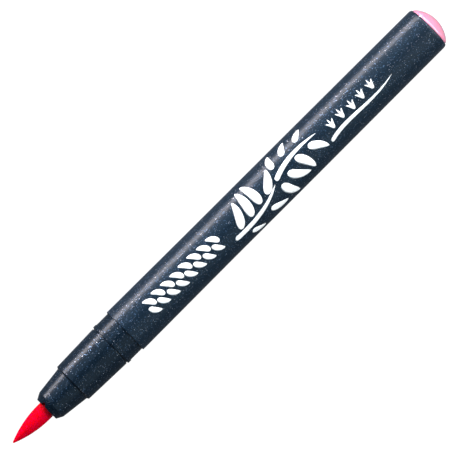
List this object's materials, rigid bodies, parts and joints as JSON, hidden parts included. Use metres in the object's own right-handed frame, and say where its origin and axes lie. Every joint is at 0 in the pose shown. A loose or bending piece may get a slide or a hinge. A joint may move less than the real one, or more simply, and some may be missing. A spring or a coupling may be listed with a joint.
{
  "type": "brush pen",
  "caption": "Slim uncapped brush pen with a soft pointed nib, stepped front section, tapering barrel, domed tail plug and a pull-off cap lying in line with it.",
  "frame": {"origin": "the point of the brush nib, on the pen's axis", "axes": "+X along the axis from the nib to the tail, +Z the printed side, which faces up"},
  "size_m": [0.1891, 0.013, 0.013],
  "materials": {
    "flake_plastic": "satin moulded polypropylene with fine metallic flakes",
    "plug_plastic": "glossy moulded plastic in the ink's colour",
    "nib_elastomer": "matt porous tip soaked with ink",
    "natural_plastic": "unpigmented polypropylene",
    "inked_fibre": "polyester fibre soaked with ink",
    "film": "thin clear film",
    "print_ink": "white screen print, thin and slightly raised"
  },
  "bodies": {
    "pen": {"barrel": "flake_plastic", "tail_plug": "plug_plastic", "front_section": "flake_plastic", "brush_nib": "nib_elastomer", "nib_retainer": "natural_plastic", "relay_core": "inked_fibre", "ink_reservoir": "inked_fibre", "reservoir_film": "film"},
    "cap": {"cap_shell": "flake_plastic", "inner_cap": "natural_plastic"}
  },
  "joints": [
    {"name": "cap_slide", "type": "slide", "parent": "pen", "child": "cap", "axis": [1, 0, 0], "range_m": [0, 0.0463]}
  ]
}
